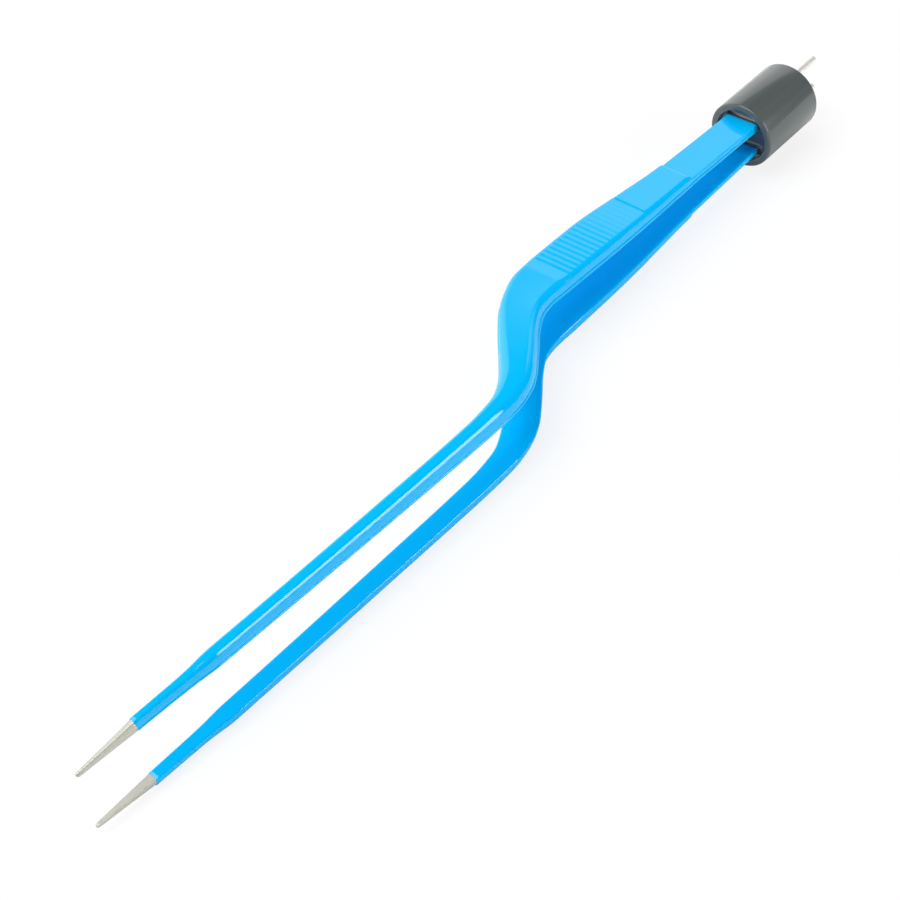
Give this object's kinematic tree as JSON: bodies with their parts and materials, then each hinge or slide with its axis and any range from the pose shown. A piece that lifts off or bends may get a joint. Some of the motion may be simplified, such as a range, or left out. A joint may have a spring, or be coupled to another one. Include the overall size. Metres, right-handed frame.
{
  "type": "bipolar forceps",
  "caption": "Bayonet bipolar forceps: stacked coated steel arms with bare tapered tips, sprung open, on a round connector with contact pins.",
  "frame": {"origin": "centre of the connector's rear face", "axes": "+X out along the contact pins, tips towards -X, bayonet offset towards -Y, arms open along Z"},
  "size_m": [0.1924, 0.0221, 0.0156],
  "materials": {
    "steel": "satin",
    "blue_coating": "gloss",
    "black_plastic": "gloss",
    "black_resin": "gloss",
    "spacer_plastic": "matte",
    "pin_metal": "polished nickel"
  },
  "bodies": {
    "connector": {"connector_shell": "black_plastic", "potting": "black_resin", "blade_spacer": "spacer_plastic", "pin_plate": "black_plastic", "upper_contact_pin": "pin_metal", "lower_contact_pin": "pin_metal"},
    "upper_arm": {"upper_blade": "steel", "upper_insulation": "blue_coating"},
    "lower_arm": {"lower_blade": "steel", "lower_insulation": "blue_coating"}
  },
  "joints": [
    {"name": "upper_arm_flex", "type": "hinge", "parent": "connector", "child": "upper_arm", "pos_m": [-0.0141, 0, 0.00258], "axis": [0, -1, 0], "range_deg": [0, 1.87], "stiffness_Nm_per_rad": 1.6},
    {"name": "lower_arm_flex", "type": "hinge", "parent": "connector", "child": "lower_arm", "pos_m": [-0.0141, 0, -0.00258], "axis": [0, 1, 0], "range_deg": [0, 1.87], "stiffness_Nm_per_rad": 1.6}
  ]
}
